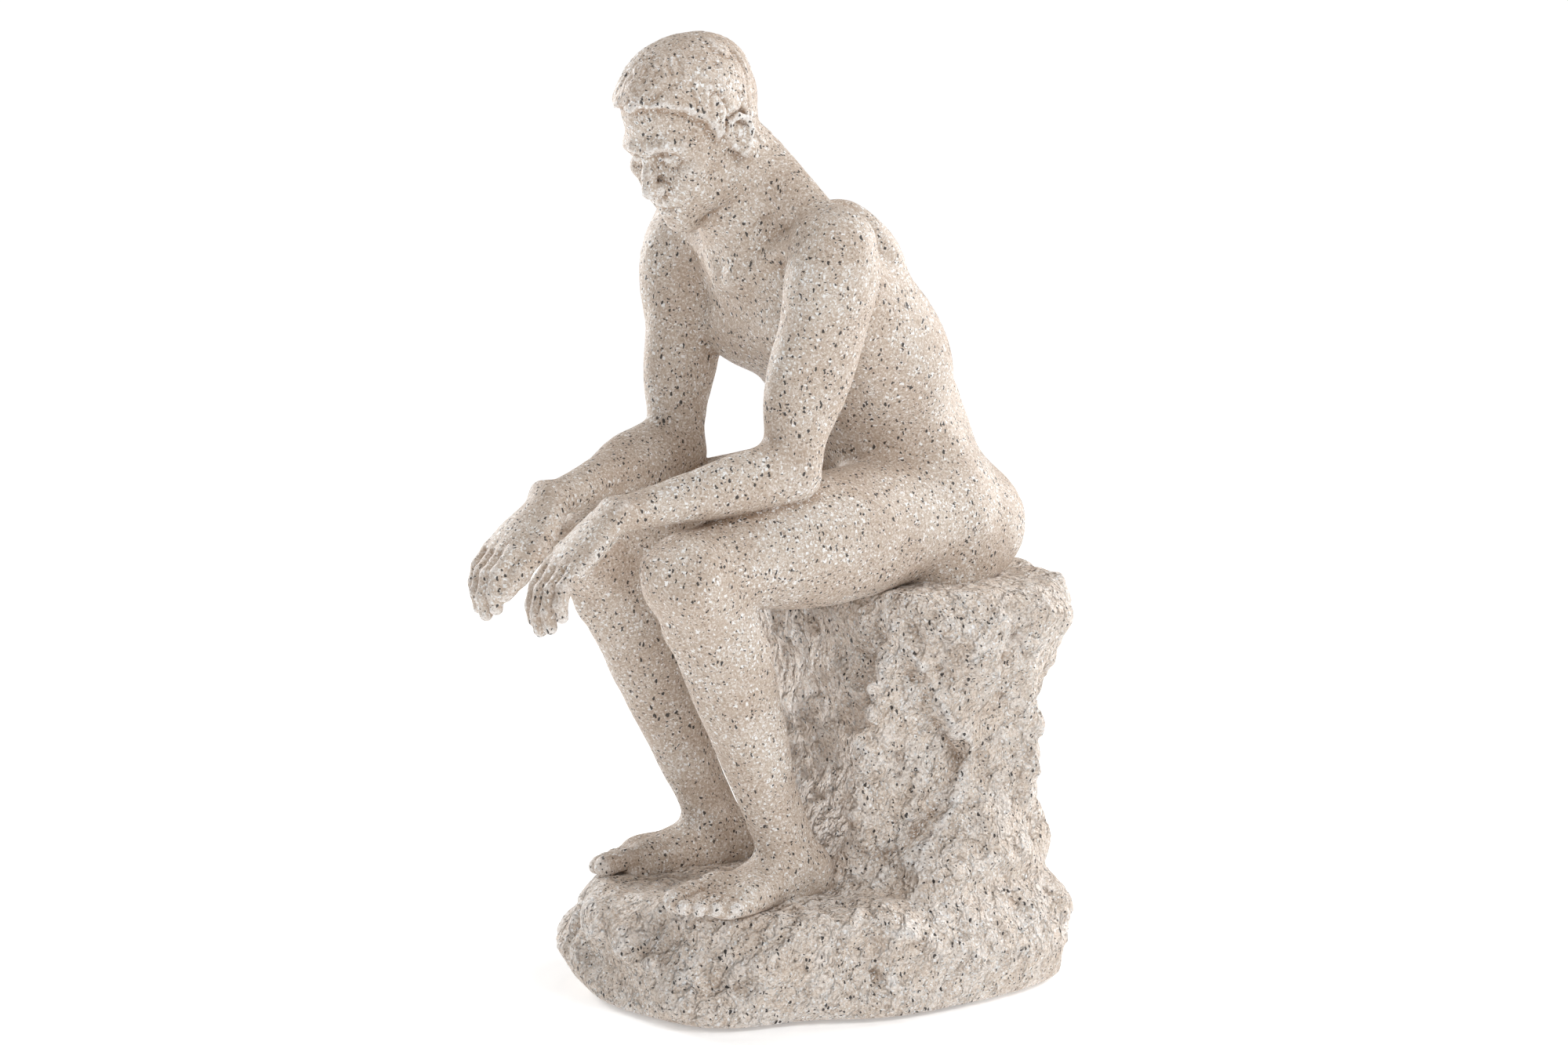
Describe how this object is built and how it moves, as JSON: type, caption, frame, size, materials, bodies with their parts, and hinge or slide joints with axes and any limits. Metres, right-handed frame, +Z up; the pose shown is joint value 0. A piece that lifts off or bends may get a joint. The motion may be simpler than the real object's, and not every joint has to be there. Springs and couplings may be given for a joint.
{
  "type": "seated figure statue",
  "caption": "Seated contemplative figure on a rough rock, cast in sections that are pinned with steel dowels and finished in a speckled stone coat.",
  "frame": {"origin": "on the underside of the felt, under the middle of the rock", "axes": "+Z up, -Y the way the figure faces, +X the figure's left"},
  "size_m": [0.194, 0.307, 0.4759],
  "materials": {
    "stone_coat": "sprayed beige stone-effect coat with white flakes and dark grains, satin-matt",
    "dowel_steel": "plain drawn steel",
    "plate_board": "raw fibreboard",
    "felt": "dark pressed felt"
  },
  "bodies": {
    "root": {"rock_plinth": "stone_coat", "torso": "stone_coat", "head": "stone_coat", "left_arm": "stone_coat", "right_arm": "stone_coat", "left_leg": "stone_coat", "right_leg": "stone_coat", "neck_dowel": "dowel_steel", "left_shoulder_dowel": "dowel_steel", "right_shoulder_dowel": "dowel_steel", "left_hip_dowel": "dowel_steel", "right_hip_dowel": "dowel_steel", "left_seat_dowel": "dowel_steel", "right_seat_dowel": "dowel_steel", "left_foot_dowel": "dowel_steel", "right_foot_dowel": "dowel_steel", "base_plate": "plate_board", "base_felt": "felt"}
  },
  "joints": []
}
